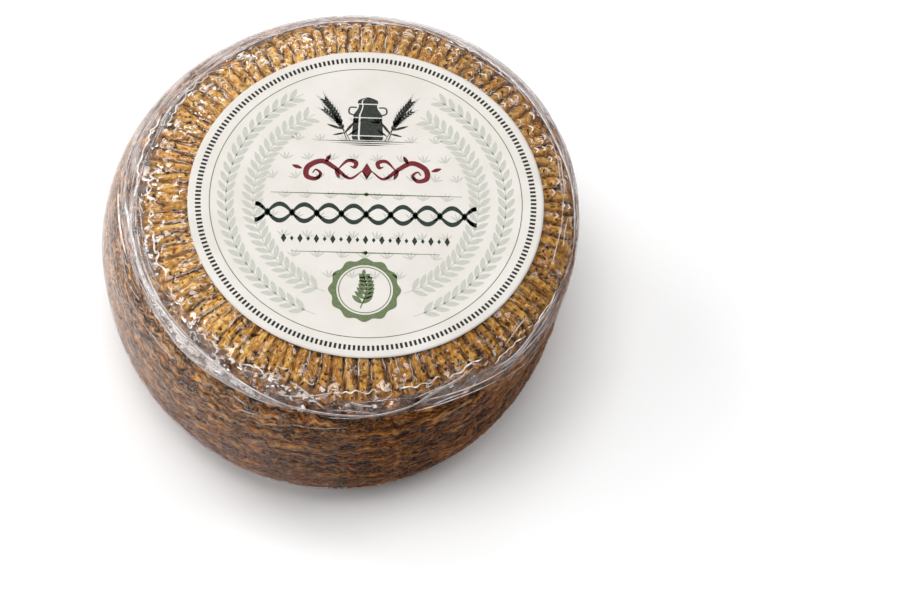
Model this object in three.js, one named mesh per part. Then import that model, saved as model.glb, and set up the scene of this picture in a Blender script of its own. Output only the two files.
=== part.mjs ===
// A cured cheese: one whole wheel in its tight clear film, lying flat, with a round paper label
// on its top face. Millimetres, +Z up along the wheel's axis, the base on Z = 0, and the side
// that faces the viewer towards -Y. The rind and the film that is sucked onto it are one solid,
// whose relief is the print of the mould: radial ribs on the face and plaited scales on the side.
import * as THREE from 'three';

// Wheel
const WHEEL_RADIUS = 100;
const BELLY_HEIGHT = 53;
const CROWN_HEIGHT = 89.4;
const CROWN_FLAT_RADIUS = 74;
const BASE_FLAT_RADIUS = 70;
const CORNER_SQUARENESS = 3.1;

// Unevenness of the real wheel: its face sits off its belly, and its outline is a little oval
// and three-lobed
const FACE_SHIFT = new THREE.Vector2(5.9, -2.3);
const OVALNESS = 1.6;
const OVAL_ANGLE = THREE.MathUtils.degToRad(74);
const LOBE_HEIGHT = 1.0;
const LOBE_ANGLE = THREE.MathUtils.degToRad(37.5);

// Relief, as depth below the film's outer skin
const RIB_COUNT = 96;
const COLUMNS_PER_RIB = 2;
const RIB_DEPTH = 2.2;
const RIB_BAND = 24;
const BEAD_DEPTH = 0.8;
const BEAD_PITCH = 4;
const CREASE_BAND = 7;
const CREASE_DEPTH = 0.3;
const SCALE_DEPTH = 1.1;
const SCALE_PITCH = 7.6;
const COLUMNS_PER_SCALE = 4;
const UNEVEN_DEPTH = 0.5;

// Where the relief starts on the face, under the edge of the label
const RELIEF_INNER_RADIUS = 66;
const PLAIN_RADIUS = 60;

// Label
const LABEL_RADIUS = 72.5;
const LABEL_THICKNESS = 0.3;
const LABEL_GAP = 0.3;
const LABEL_SHIFT = new THREE.Vector2(4.9, -0.6);
const LABEL_SIDES = 120;

const COLUMNS = RIB_COUNT * COLUMNS_PER_RIB;

// One corner of the profile, from its flat (t = 0) to the belly (t = 1), as a superellipse
function cornerPoint(t, flatRadius, flatHeight) {
  const angle = (1 - t) * Math.PI / 2;
  const power = 2 / CORNER_SQUARENESS;
  const out = Math.max(Math.cos(angle), 0) ** power;
  const up = Math.max(Math.sin(angle), 0) ** power;
  return new THREE.Vector2(
    flatRadius + (WHEEL_RADIUS - flatRadius) * out,
    BELLY_HEIGHT + (flatHeight - BELLY_HEIGHT) * up,
  );
}

// The film's outer skin in section, from the edge of the label down to the edge of the base
class SkinProfile extends THREE.Curve {
  getPoint(t, target = new THREE.Vector2()) {
    const stretch = t * 3;
    if (stretch < 1) {
      const radius = THREE.MathUtils.lerp(RELIEF_INNER_RADIUS, CROWN_FLAT_RADIUS, stretch);
      return target.set(radius, CROWN_HEIGHT);
    }
    if (stretch < 2) {
      return target.copy(cornerPoint(stretch - 1, CROWN_FLAT_RADIUS, CROWN_HEIGHT));
    }
    return target.copy(cornerPoint(3 - stretch, BASE_FLAT_RADIUS, 0));
  }
}

// Distances along the skin at which a ring of vertices lies: two to a bead, one to a scale
function ringDistances(length) {
  const distances = [];
  const beadStep = BEAD_PITCH / 2;
  for (let s = 0; s < RIB_BAND; s += beadStep) {
    distances.push(s);
  }
  const scaleRings = Math.round((length - RIB_BAND) / SCALE_PITCH);
  for (let i = 0; i <= scaleRings; i += 1) {
    distances.push(THREE.MathUtils.lerp(RIB_BAND, length, i / scaleRings));
  }
  return distances;
}

// Depth of the relief under the skin, at one vertex
function reliefDepth(distance, ring, column, isLastRing) {
  if (isLastRing) {
    return 0;
  }
  const uneven = UNEVEN_DEPTH * THREE.MathUtils.seededRandom(ring * COLUMNS + column + 1);
  if (distance < RIB_BAND) {
    const isGroove = column % COLUMNS_PER_RIB !== 0;
    const isBeadEnd = ring % 2 !== 0;
    const depth = isGroove ? RIB_DEPTH : BEAD_DEPTH * Number(isBeadEnd);
    return depth + uneven;
  }
  if (distance < RIB_BAND + CREASE_BAND) {
    return CREASE_DEPTH + uneven;
  }
  const stagger = ring % 2 * COLUMNS_PER_SCALE / 2;
  const isScale = (column + stagger) % COLUMNS_PER_SCALE < COLUMNS_PER_SCALE / 2;
  return (isScale ? 0 : SCALE_DEPTH) + uneven;
}

// Radius factor of the oval and three-lobed outline at an angle about the axis
function outlineFactor(angle) {
  const oval = OVALNESS * Math.cos(2 * (angle - OVAL_ANGLE));
  const lobes = LOBE_HEIGHT * Math.cos(3 * (angle - LOBE_ANGLE));
  return 1 + (oval + lobes) / WHEEL_RADIUS;
}

// Share of the face's shift at a height: none up to the belly, all of it at the crown
function shiftShare(height) {
  return THREE.MathUtils.clamp((height - BELLY_HEIGHT) / (CROWN_HEIGHT - BELLY_HEIGHT), 0, 1);
}

function wheelGeometry() {
  const skin = new SkinProfile();
  const length = skin.getLength();
  const distances = ringDistances(length);
  const rings = distances.map((s) => {
    const u = Math.min(s / length, 1);
    return {
      distance: s,
      point: skin.getPointAt(u),
      tangent: skin.getTangentAt(u),
    };
  });

  // The lathe turns about Y with its profile from the base up, so its first point is the base's
  // centre and its last the crown's centre
  const profile = [
    new THREE.Vector2(0, CROWN_HEIGHT),
    new THREE.Vector2(PLAIN_RADIUS, CROWN_HEIGHT),
    ...rings.map((ring) => ring.point),
    new THREE.Vector2(0, 0),
  ].reverse();
  const geometry = new THREE.LatheGeometry(profile, COLUMNS);
  const position = geometry.attributes.position;
  for (let vertex = 0; vertex < position.count; vertex += 1) {
    const column = Math.floor(vertex / profile.length) % COLUMNS;
    const angle = column / COLUMNS * Math.PI * 2;
    const profileIndex = vertex % profile.length;
    const ringIndex = rings.length - profileIndex;
    const ring = rings[ringIndex];
    let { x: radius, y: height } = profile[profileIndex];
    if (ring) {
      const isLastRing = ringIndex === rings.length - 1;
      const depth = reliefDepth(ring.distance, ringIndex, column, isLastRing);
      radius += ring.tangent.y * depth;
      height -= ring.tangent.x * depth;
    }
    radius *= outlineFactor(angle);
    const share = shiftShare(height);
    position.setXYZ(
      vertex,
      radius * Math.cos(angle) + FACE_SHIFT.x * share,
      radius * Math.sin(angle) + FACE_SHIFT.y * share,
      height,
    );
  }
  return geometry;
}

function buildWheel() {
  const rind = new THREE.MeshStandardMaterial({ color: 0xa87a45, roughness: 0.3, metalness: 0 });
  const wheel = new THREE.Mesh(wheelGeometry(), rind);
  wheel.name = 'wheel';
  return wheel;
}

function buildLabel() {
  const geometry = new THREE.CylinderGeometry(
    LABEL_RADIUS,
    LABEL_RADIUS,
    LABEL_THICKNESS,
    LABEL_SIDES,
  );
  geometry.rotateX(Math.PI / 2);
  const paper = new THREE.MeshStandardMaterial({ color: 0xe9e6df, roughness: 0.7, metalness: 0 });
  const label = new THREE.Mesh(geometry, paper);
  label.name = 'label';
  const centre = FACE_SHIFT.clone().add(LABEL_SHIFT);
  const height = CROWN_HEIGHT + LABEL_GAP + LABEL_THICKNESS / 2;
  label.position.set(centre.x, centre.y, height);
  return label;
}

// Moves every piece alike, so that the centre of the model's box stands over the origin
function centreOverOrigin(group) {
  const middle = new THREE.Box3().setFromObject(group).getCenter(new THREE.Vector3());
  for (const piece of group.children) {
    piece.position.x -= middle.x;
    piece.position.y -= middle.y;
  }
}

const cheese = new THREE.Group();
cheese.add(buildWheel(), buildLabel());
centreOverOrigin(cheese);

export default cheese;
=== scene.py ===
import math
import random

import bmesh
import bpy
import numpy as np
from mathutils import Matrix, Vector


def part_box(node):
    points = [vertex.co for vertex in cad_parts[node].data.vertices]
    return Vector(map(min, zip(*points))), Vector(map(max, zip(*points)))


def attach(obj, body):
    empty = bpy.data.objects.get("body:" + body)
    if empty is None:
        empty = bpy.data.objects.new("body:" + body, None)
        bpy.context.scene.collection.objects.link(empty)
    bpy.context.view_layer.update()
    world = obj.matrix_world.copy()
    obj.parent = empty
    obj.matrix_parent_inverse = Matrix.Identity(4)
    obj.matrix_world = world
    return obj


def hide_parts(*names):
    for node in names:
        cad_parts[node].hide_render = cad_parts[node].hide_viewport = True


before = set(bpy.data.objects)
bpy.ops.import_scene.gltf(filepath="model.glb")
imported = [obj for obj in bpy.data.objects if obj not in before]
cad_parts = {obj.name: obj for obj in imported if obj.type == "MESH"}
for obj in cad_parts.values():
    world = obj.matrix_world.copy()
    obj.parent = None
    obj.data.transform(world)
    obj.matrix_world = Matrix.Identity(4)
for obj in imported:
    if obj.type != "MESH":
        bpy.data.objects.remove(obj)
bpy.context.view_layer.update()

MM = 0.001

# The wheel's outer skin, as the frame's solid has it
WHEEL_RADIUS = 100.0
BELLY_HEIGHT = 53.0
CROWN_HEIGHT = 89.4
CROWN_FLAT_RADIUS = 74.0
BASE_FLAT_RADIUS = 70.0
CORNER_SQUARENESS = 3.1
INNER_RADIUS = 60.0
FACE_SHIFT = np.array([5.9, -2.3])
LABEL_SHIFT = np.array([4.9, -0.6])
OVALNESS = 1.6
OVAL_ANGLE = math.radians(74.0)
LOBE_HEIGHT = 1.0
LOBE_ANGLE = math.radians(37.5)

# Relief of the rind, under the skin
SKIN_CLEARANCE = 0.45
RIND_BASE_DEPTH = 0.3
RIB_COUNT = 96
RIB_DEPTH = 2.0
BEAD_PITCH = 3.4
# About this side of the wheel the ribs are rows of beads
BEADED_ANGLE = math.radians(62.0)
PLAIT_WAVES = 92
PLAIT_SWING = 0.8
STRAND_RUN = 4.8
STRAND_WIDTH = 0.88
PLAIT_DEPTH = 1.3
PIT_DEPTH = 0.8
# The rind is painted paler towards this side of the wheel and darker away from it: painted light, as if
# lit from this side
PAINTED_LIGHT_ANGLE = math.radians(165.0)

# How the edges run round the wheel. Each row has an angle in degrees, the distance along the skin
# at which the ribs end, those at which the film's sleeve, a paler band outside them, starts and
# ends, and the sleeve's strength.
DEGREES, RIBS_END, SLEEVE_START, SLEEVE_END, SLEEVE_STRENGTH = range(5)
EDGES = np.array([
    (0, 32.8, 34.0, 75.0, 0.8),
    (9, 30.8, 32.0, 75.0, 0.9),
    (21, 27.6, 29.0, 70.0, 1.0),
    (36, 26.4, 28.0, 62.0, 0.9),
    (50, 26.6, 28.0, 57.0, 0.85),
    (60, 28.0, 29.5, 54.0, 0.85),
    (80, 29.6, 31.0, 53.0, 0.85),
    (100, 26.2, 29.0, 53.0, 0.85),
    (120, 24.5, 29.5, 52.0, 0.9),
    (140, 24.0, 30.0, 47.0, 0.95),
    (160, 23.5, 30.0, 40.0, 1.0),
    (190, 24.8, 30.0, 36.0, 1.0),
    (205, 24.6, 31.0, 36.5, 0.8),
    (215, 24.4, 32.0, 37.0, 0.0),
    (250, 25.8, 33.0, 36.0, 0.0),
    (265, 27.2, 33.0, 36.0, 0.0),
    (280, 27.2, 33.0, 37.0, 0.0),
    (294, 28.0, 30.0, 38.0, 0.3),
    (304, 29.5, 33.0, 41.0, 0.5),
    (312, 33.6, 36.0, 43.0, 0.6),
    (324, 35.6, 37.0, 46.0, 0.7),
    (335, 36.8, 38.0, 55.0, 0.7),
    (346, 36.2, 37.5, 70.0, 0.7),
], dtype=float)

# The rind's meshes: from and to along the skin, step along it and columns round the wheel
RIND_BANDS = {
    "rind_crown": (6.0, 33.0, 0.43, 1440),
    "rind_shoulder": (32.6, 66.0, 0.36, 820),
    "rind_belly": (65.6, 104.0, 0.38, 820),
    "rind_base": (103.6, None, 1.0, 820),
}

# The film's mesh: steps along the skin on the crown, at its gathered edge and on the side
FILM_COLUMNS = 920
FILM_START = 6.0
FILM_CROWN_STEP = 0.7
FILM_EDGE_STEP = 0.8
FILM_SIDE_STEP = 2.6
FILM_CROWN_END = 30.0
FILM_EDGE_END = 60.0
# Its depth under the skin at least, on the ribs' crests and on the side, its height over the rind
# at least, how much of the way it sags into the grooves, and how high it wrinkles
FILM_LEAST_DEPTH = 0.03
FILM_CREST_DEPTH = 0.12
FILM_SIDE_DEPTH = 0.22
FILM_RIND_GAP = 0.1
FILM_SAG = 0.40
FILM_WRINKLE = 0.16
# The film is slacker, and so milkier, about this side of the wheel
SLACK_ANGLE = math.radians(115.0)
# It is most crumpled about this side of the wheel
CRUMPLED_ANGLE = math.radians(155.0)
# On the plaited side about this side of the wheel the film carries a painted sheen: whitish haze and
# glint lines standing in for reflected light
PAINTED_SHEEN_ANGLE = math.radians(208.0)
# The distance along the skin at which its collar ends, which starts at the ends of the ribs
COLLAR_END = 34.5
# Between these distances it sinks to a margin under the skin, as the wheel is widest there
BELLY_START = 36.0
BELLY_FULL = 45.0
BELLY_MARGIN = 0.29
# Its facets: their size and how far they tilt
FILM_FACET = 1.7
FILM_TILT = 0.95

# The label
LABEL_RADIUS = 72.5
PAPER_THICKNESS = 0.26
PAPER_TOP_GAP = 0.05
INK_THICKNESS = 0.03
PRINT_TURN = math.radians(-2.4)


# ---- noise

def lattice_value(ix, iy, iz, seed):
    """A repeatable number from 0 to 1 for each lattice point."""
    stirred = ix * 374761393 + iy * 668265263 + iz * 1440662683 + seed * 1274126177
    stirred = (stirred ^ (stirred >> 13)) * 1103515245
    return ((stirred ^ (stirred >> 16)) & 0xFFFF) / 65535.0


def noise(points, size, seed):
    """Smooth noise from -1 to 1 with lumps of the given size, at an array of points."""
    scaled = points / size
    cell = np.floor(scaled).astype(np.int64)
    part = scaled - cell
    part = part * part * (3.0 - 2.0 * part)
    total = np.zeros(points.shape[:-1])
    for corner_number in range(8):
        dx, dy, dz = corner_number & 1, corner_number >> 1 & 1, corner_number >> 2 & 1
        weight = np.where(dx, part[..., 0], 1.0 - part[..., 0])
        weight = weight * np.where(dy, part[..., 1], 1.0 - part[..., 1])
        weight = weight * np.where(dz, part[..., 2], 1.0 - part[..., 2])
        value = lattice_value(cell[..., 0] + dx, cell[..., 1] + dy, cell[..., 2] + dz, seed)
        total += weight * value
    return total * 2.0 - 1.0


def smooth(value, low, high):
    """0 below low, 1 above high, and an even curve between them."""
    t = np.clip((value - low) / (high - low), 0.0, 1.0)
    return t * t * (3.0 - 2.0 * t)


def between(value, start, start_full, end_full, end):
    """1 between two places, falling evenly to 0 at either side."""
    return smooth(value, start, start_full) * (1.0 - smooth(value, end_full, end))


def mixed(first, second, share):
    return first * (1.0 - share) + second * share


def points_at(*axes):
    """Points from their coordinates, some of which may be single numbers."""
    return np.stack(np.broadcast_arrays(*axes), axis=-1)


# ---- the wheel's skin

def corner(t, flat_radius, flat_height):
    """Radius and height on one rounded corner, from its flat (t = 0) to the belly (t = 1)."""
    angle = (1.0 - t) * math.pi / 2.0
    power = 2.0 / CORNER_SQUARENESS
    out = np.maximum(np.cos(angle), 0.0) ** power
    up = np.maximum(np.sin(angle), 0.0) ** power
    radius = flat_radius + (WHEEL_RADIUS - flat_radius) * out
    return radius, BELLY_HEIGHT + (flat_height - BELLY_HEIGHT) * up


def skin_table(steps=600):
    """Distance along the skin, radius, height and outward normal, from the label's middle part
    down to the base."""
    t = np.linspace(0.0, 1.0, steps)
    flat = np.linspace(INNER_RADIUS, CROWN_FLAT_RADIUS, steps // 4)
    upper_r, upper_z = corner(t, CROWN_FLAT_RADIUS, CROWN_HEIGHT)
    lower_r, lower_z = corner(t[::-1], BASE_FLAT_RADIUS, 0.0)
    radius = np.concatenate([flat[:-1], upper_r, lower_r[1:]])
    height = np.concatenate([np.full(len(flat) - 1, CROWN_HEIGHT), upper_z, lower_z[1:]])
    run = np.hypot(np.diff(radius), np.diff(height))
    distance = np.concatenate([[0.0], np.cumsum(run)])
    even = np.linspace(0.0, distance[-1], 4 * steps)
    radius = np.interp(even, distance, radius)
    height = np.interp(even, distance, height)
    slope_r = np.gradient(radius, even)
    slope_z = np.gradient(height, even)
    return even, radius, height, -slope_z, slope_r


SKIN = skin_table()
SKIN_LENGTH = SKIN[0][-1]
label_low, label_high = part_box("label")
LABEL_CENTRE = np.array([label_low[i] + label_high[i] for i in range(2)]) / 2.0 / MM
LABEL_TOP = label_high[2] / MM
WHEEL_CENTRE = LABEL_CENTRE - FACE_SHIFT - LABEL_SHIFT


def skin_point(distance, angle, depth):
    """Points in millimetres at a distance along the skin, an angle and a depth under it."""
    radius, height, normal_r, normal_z = (np.interp(distance, SKIN[0], row) for row in SKIN[1:])
    radius = radius - normal_r * depth
    height = height - normal_z * depth
    oval = OVALNESS * np.cos(2.0 * (angle - OVAL_ANGLE))
    lobes = LOBE_HEIGHT * np.cos(3.0 * (angle - LOBE_ANGLE))
    radius = radius * (1.0 + (oval + lobes) / WHEEL_RADIUS)
    share = np.clip((height - BELLY_HEIGHT) / (CROWN_HEIGHT - BELLY_HEIGHT), 0.0, 1.0)
    x = radius * np.cos(angle) + FACE_SHIFT[0] * share + WHEEL_CENTRE[0]
    y = radius * np.sin(angle) + FACE_SHIFT[1] * share + WHEEL_CENTRE[1]
    return points_at(x, y, height)


# ---- relief

def unrolled(distance, angle, around, along):
    """The skin laid flat, in cells of one size round the wheel and another along the skin."""
    reach = WHEEL_RADIUS / around
    return points_at(reach * np.cos(angle), reach * np.sin(angle), distance / along)


def back_share(angle):
    """1 at the back of the wheel, where the ribs are rows of beads, and 0 elsewhere."""
    return smooth(np.cos(angle - BEADED_ANGLE), 0.0, 0.6)


def edge_value(angle, column):
    """One column of the table of edges, evened out between its rows."""
    return np.interp(np.degrees(angle), EDGES[:, DEGREES], EDGES[:, column], period=360.0)


def rib_relief(distance, angle, place):
    """Height from 0 to about 1 of the radial ribs, their beads and fibres, with the masks of
    the pits and the fibres."""
    bend = 0.22 * noise(place, 8.0, 11) + 0.12 * noise(place, 3.0, 12)
    along = angle / (2.0 * math.pi) * RIB_COUNT + bend
    rib = np.floor(along)
    across = along - rib - 0.5
    luck = lattice_value(rib.astype(np.int64) % RIB_COUNT, 0, 0, 5)
    hump = 1.0 - np.abs(2.0 * across) ** 2.4
    merged = 0.55 * smooth(noise(place, 6.0, 17), 0.1, 0.7)
    hump = mixed(hump, 1.0, merged)
    beaded = back_share(angle)
    uneven = (3.0 * luck + 0.45 * noise(place, 4.5, 13)) * (1.0 - 0.7 * beaded)
    bead = distance / BEAD_PITCH + uneven + (1.2 + 0.8 * beaded) * across ** 2
    arch = np.abs(np.sin(math.pi * bead)) ** 0.55
    lump = 0.5 + 0.5 * noise(place, 2.1, 14)
    fibre = noise(unrolled(distance, angle, 1.05, 6.0), 1.0, 18)
    beads = (0.24 + 0.26 * beaded) * arch
    fibrous = (0.26 - 0.16 * beaded) * fibre
    height = hump * (0.42 + beads + 0.38 * lump) + 0.20 * noise(place, 1.2, 15) + fibrous
    pit = smooth(noise(place, 1.25, 16) + 0.25 * (1.0 - arch), 0.56, 0.72)
    return height, pit, 0.5 + 0.5 * fibre


def plait_relief(distance, angle, place):
    """Height from 0 to about 1 of the wavy strands on the side, which part and merge, a number
    for each patch of them, and how far they sway along the skin."""
    phase = PLAIT_WAVES * angle + 2.2 * noise(place, 13.0, 23) + 0.6 * noise(place, 4.0, 26)
    sway = PLAIT_SWING * np.sin(phase) + 1.6 * noise(place, 12.0, 21) + 0.5 * noise(place, 4.2, 22)
    thin = noise(unrolled(distance + sway, angle, STRAND_RUN, STRAND_WIDTH), 1.0, 24)
    wide = noise(unrolled(distance + sway, angle, 1.5 * STRAND_RUN, 2.2 * STRAND_WIDTH), 1.0, 25)
    crest = 1.0 - np.clip(2.6 * np.abs(thin), 0.0, 1.0)
    height = 0.50 * crest + 0.24 + 0.34 * wide + 0.20 * noise(place, 1.0, 27)
    patch = noise(unrolled(distance + sway, angle, 4.0, 2.0), 1.0, 28)
    return height, 0.5 + 0.5 * patch, sway


def base_share(distance):
    """0 on the wheel and 1 where it rests."""
    return smooth(distance, SKIN_LENGTH - 6.0, SKIN_LENGTH - 1.0)


def rib_edge(angle, place):
    """The ragged line where the ribs end."""
    return edge_value(angle, RIBS_END) + 1.4 * noise(place, 5.0, 31)


def rind_depth(distance, angle, place):
    """Depth under the skin of the rind, with its colour masks."""
    rib_height, pit, fibre = rib_relief(distance, angle, place)
    strand_height, straw, sway = plait_relief(distance, angle, place)
    edge = rib_edge(angle, place)
    side = smooth(distance, edge - 2.0, edge + 4.0)
    relief = mixed(rib_height, strand_height, side)
    full = mixed(RIB_DEPTH, PLAIT_DEPTH, side)
    depth = SKIN_CLEARANCE + full * (1.0 - np.clip(relief, -0.2, 1.05))
    depth = depth + PIT_DEPTH * pit * (1.0 - side)
    masks = {
        # relief also sets the colour: dark in the grooves and gaps, partly the rind's own colour and
        # partly painted shade, and pale on the crests
        "relief": relief,
        "pit": pit * (1.0 - side),
        "side": side,
        "straw": mixed(fibre, straw, side),
        # low: painted shade, 0 at the top of the side and 1 near the base
        "low": smooth(distance, 30.0, 110.0),
        # tone: painted light, 1 on the side the light is painted from and 0 opposite it
        "tone": 0.5 + 0.5 * np.cos(angle - PAINTED_LIGHT_ANGLE),
        "unrolled": unrolled(distance + sway, angle, 1.0, 1.0),
    }
    return depth, masks


# ---- meshes

def new_object(name, points, faces, masks, material, smooth_faces=True):
    """A mesh object from points in millimetres, with an attribute from each mask: a number, or
    three numbers, for each point."""
    mesh = bpy.data.meshes.new(name)
    mesh.from_pydata((np.asarray(points) * MM).tolist(), [], faces)
    for mask_name, values in masks.items():
        values = np.asarray(values, dtype=np.float32)
        if values.ndim == 1:
            mesh.attributes.new(mask_name, "FLOAT", "POINT").data.foreach_set("value", values)
        else:
            layer = mesh.attributes.new(mask_name, "FLOAT_VECTOR", "POINT")
            layer.data.foreach_set("vector", values.reshape(-1))
    mesh.polygons.foreach_set("use_smooth", [smooth_faces] * len(mesh.polygons))
    mesh.materials.append(material)
    piece = bpy.data.objects.new(name, mesh)
    bpy.context.scene.collection.objects.link(piece)
    return piece


def face_outwards(piece):
    """Turns every face of closed pieces outwards."""
    work = bmesh.new()
    work.from_mesh(piece.data)
    bmesh.ops.recalc_face_normals(work, faces=work.faces)
    work.to_mesh(piece.data)
    work.free()
    return piece


def ring_faces(rings, columns):
    """Quads between rings of points, and a fan to the first and the last point."""
    ring = np.arange(rings - 1)[:, None] * columns
    column = np.arange(columns)[None, :]
    after = (column + 1) % columns
    quads = np.stack([
        ring + column,
        ring + columns + column,
        ring + columns + after,
        ring + after,
    ], axis=-1)
    quads = quads.reshape(-1, 4).tolist()
    top = rings * columns
    last = (rings - 1) * columns
    lids = [(i, (i + 1) % columns, top) for i in range(columns)]
    lids += [(last + (i + 1) % columns, last + i, top + 1) for i in range(columns)]
    return quads + lids


def wheel_grid(distances, columns):
    """Distance and angle at each point of a grid round the wheel."""
    angles = np.arange(columns) / columns * 2.0 * math.pi
    return np.meshgrid(distances, angles, indexing="ij")


def closed_shell(name, grid_points, masks, material, centre, lid_heights):
    """A closed piece from rings of points: its first and last rings are closed by lids."""
    rings, columns = grid_points.shape[:2]
    ends = [[centre[0], centre[1], height] for height in lid_heights]
    points = np.concatenate([grid_points.reshape(-1, 3), ends])
    flat_masks = {}
    for key, value in masks.items():
        flat = value.reshape(rings * columns, *value.shape[2:])
        flat_masks[key] = np.concatenate([flat, np.zeros((2, *value.shape[2:]))])
    return new_object(name, points, ring_faces(rings, columns), flat_masks, material)


def build_rind_band(name, start, end, step, columns, material):
    """One band of the rind: its relief hangs under the skin, and its base lies flat."""
    distances = np.arange(start, end or SKIN_LENGTH, step)
    distance, angle = wheel_grid(distances, columns)
    place = skin_point(distance, angle, 0.0)
    depth, masks = rind_depth(distance, angle, place)
    points = skin_point(distance, angle, mixed(depth, RIND_BASE_DEPTH, base_share(distance)))
    lid_top = points[0, :, 2].min() - 1.0
    lid_base = points[-1, :, 2].max() + 1.0 if end else RIND_BASE_DEPTH
    return closed_shell(name, points, masks, material, WHEEL_CENTRE, (lid_top, lid_base))


def blurred(grid, rings, columns):
    """A grid smoothed over a number of rings and, round the wheel, a number of columns."""
    for axis, spread in ((0, rings), (1, columns)):
        reach = int(3 * spread)
        offsets = np.arange(-reach, reach + 1)
        weights = np.exp(-0.5 * (offsets / spread) ** 2)
        weights /= weights.sum()
        pad = [(0, 0), (0, 0)]
        pad[axis] = (reach, reach)
        padded = np.pad(grid, pad, mode="wrap" if axis else "edge")
        size = grid.shape[axis]
        parts = [np.take(padded, np.arange(i, i + size), axis=axis) * w for i, w in enumerate(weights)]
        grid = np.sum(parts, axis=0)
    return grid


def film_streaks(distance, angle):
    """Long low wrinkles that run round the wheel, from -1 to 1."""
    around = angle * WHEEL_RADIUS
    slant = distance + 1.5 * np.sin(3.0 * angle + 1.0) + 0.05 * around
    plane = points_at(around / 9.0, slant / 1.5, 0.0)
    turned = points_at(around / 14.0 + slant / 20.0, slant / 2.6, 5.0)
    return 0.6 * noise(plane, 1.0, 42) + 0.4 * noise(turned, 1.0, 43)


def film_depth(distance, angle, rind_at, edge_at, loose):
    """Depth under the skin of the film: sagging into the grooves on the crown, wrinkled outside
    the ribs, and never inside the rind or out of the skin."""
    crown_depth = FILM_CREST_DEPTH + FILM_SAG * (blurred(rind_at, 1.4, 1.8) - SKIN_CLEARANCE)
    edge_depth = FILM_SIDE_DEPTH + FILM_WRINKLE * loose * film_streaks(distance, angle)
    depth = mixed(crown_depth, edge_depth, smooth(distance, edge_at - 2.0, edge_at + 6.0))
    least = FILM_LEAST_DEPTH + BELLY_MARGIN * smooth(distance, BELLY_START, BELLY_FULL)
    depth = np.maximum(np.minimum(depth, rind_at - FILM_RIND_GAP), least)
    return mixed(depth, FILM_CREST_DEPTH, base_share(distance))


def film_masks(distance, angle, place, edge_at, loose):
    """Where the film is slack, crumpled, gathered into its collar and its sleeve, and where it carries a
    painted sheen.
    """
    rib_ends = np.exp(-((distance - edge_at + 1.0) / 3.5) ** 2)
    crumpled = smooth(np.cos(angle - CRUMPLED_ANGLE), 0.1, 0.9)
    folded = between(distance, edge_at, edge_at + 3.0, COLLAR_END, COLLAR_END + 3.0)
    crinkle = 0.22 + 0.35 * rib_ends + crumpled * (0.3 + 0.6 * rib_ends) + 0.4 * folded
    start = edge_value(angle, SLEEVE_START)
    end = edge_value(angle, SLEEVE_END) + 0.8 * noise(place, 9.0, 44)
    soft = 1.0 + 0.3 * (end - 36.0)
    sleeve = between(distance, start - 1.0, start + 1.5, end - 1.0, end + soft)
    sleeve = sleeve * edge_value(angle, SLEEVE_STRENGTH)
    painted_sheen = smooth(np.cos(angle - PAINTED_SHEEN_ANGLE), 0.25, 0.9) * between(distance, 34.0, 42.0, 100.0, 135.0)
    return {
        "slack": 0.04 + 0.96 * loose * smooth(np.cos(angle - SLACK_ANGLE), -0.6, 0.2),
        "crinkle": np.clip(crinkle, 0.0, 1.0),
        "collar": folded * (1.0 - sleeve),
        "sleeve": sleeve,
        "painted_sheen": painted_sheen,
        "unrolled": unrolled(distance, angle, 1.0, 1.0),
    }


def build_film(material):
    """The clear film, drawn onto the crests of the rind and bridging its grooves."""
    crown = np.arange(FILM_START, FILM_CROWN_END, FILM_CROWN_STEP)
    edge = np.arange(FILM_CROWN_END, FILM_EDGE_END, FILM_EDGE_STEP)
    side_rings = round((SKIN_LENGTH - FILM_EDGE_END) / FILM_SIDE_STEP)
    side = np.linspace(FILM_EDGE_END, SKIN_LENGTH, side_rings)
    distance, angle = wheel_grid(np.concatenate([crown, edge, side]), FILM_COLUMNS)
    place = skin_point(distance, angle, 0.0)
    rind_at, rind_masks = rind_depth(distance, angle, place)
    edge_at = rib_edge(angle, place)
    loose = 1.0 - smooth(distance, 55.0, 105.0)
    depth = film_depth(distance, angle, rind_at, edge_at, loose)
    masks = film_masks(distance, angle, place, edge_at, loose)
    masks["gap"] = smooth(rind_at - depth, 0.3, 1.5) * (1.0 - rind_masks["side"])
    masks["side"] = rind_masks["side"]
    masks["swayed"] = rind_masks["unrolled"]
    points = skin_point(distance, angle, depth)
    lids = (CROWN_HEIGHT - 0.6, 0.1)
    return closed_shell("film", points, masks, material, WHEEL_CENTRE, lids)


# ---- strips of ink and film

class Strips:
    """Closed strips gathered for one mesh: each is a row of sections with the same number of
    points."""

    def __init__(self):
        self.points = []
        self.faces = []
        self.marks = []

    def add(self, sections, marks=None, joined=False):
        """Sections have the shape (stations, points, 3). Joined makes the row a ring."""
        stations, size = sections.shape[:2]
        first = len(self.points)
        self.points.extend(sections.reshape(-1, 3).tolist())
        values = np.zeros((stations, size)) if marks is None else marks
        self.marks.extend(values.reshape(-1).tolist())
        for i in range(stations if joined else stations - 1):
            here = first + i * size
            after = first + (i + 1) % stations * size
            for k in range(size):
                k2 = (k + 1) % size
                self.faces.append((here + k, here + k2, after + k2, after + k))
        if not joined:
            self.faces.append(tuple(first + k for k in range(size)))
            self.faces.append(tuple(first + (stations - 1) * size + k for k in range(size)))

    def build(self, name, material, smooth_faces):
        piece = new_object(name, self.points, self.faces, {"edge": self.marks}, material, smooth_faces)
        return face_outwards(piece)


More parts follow.
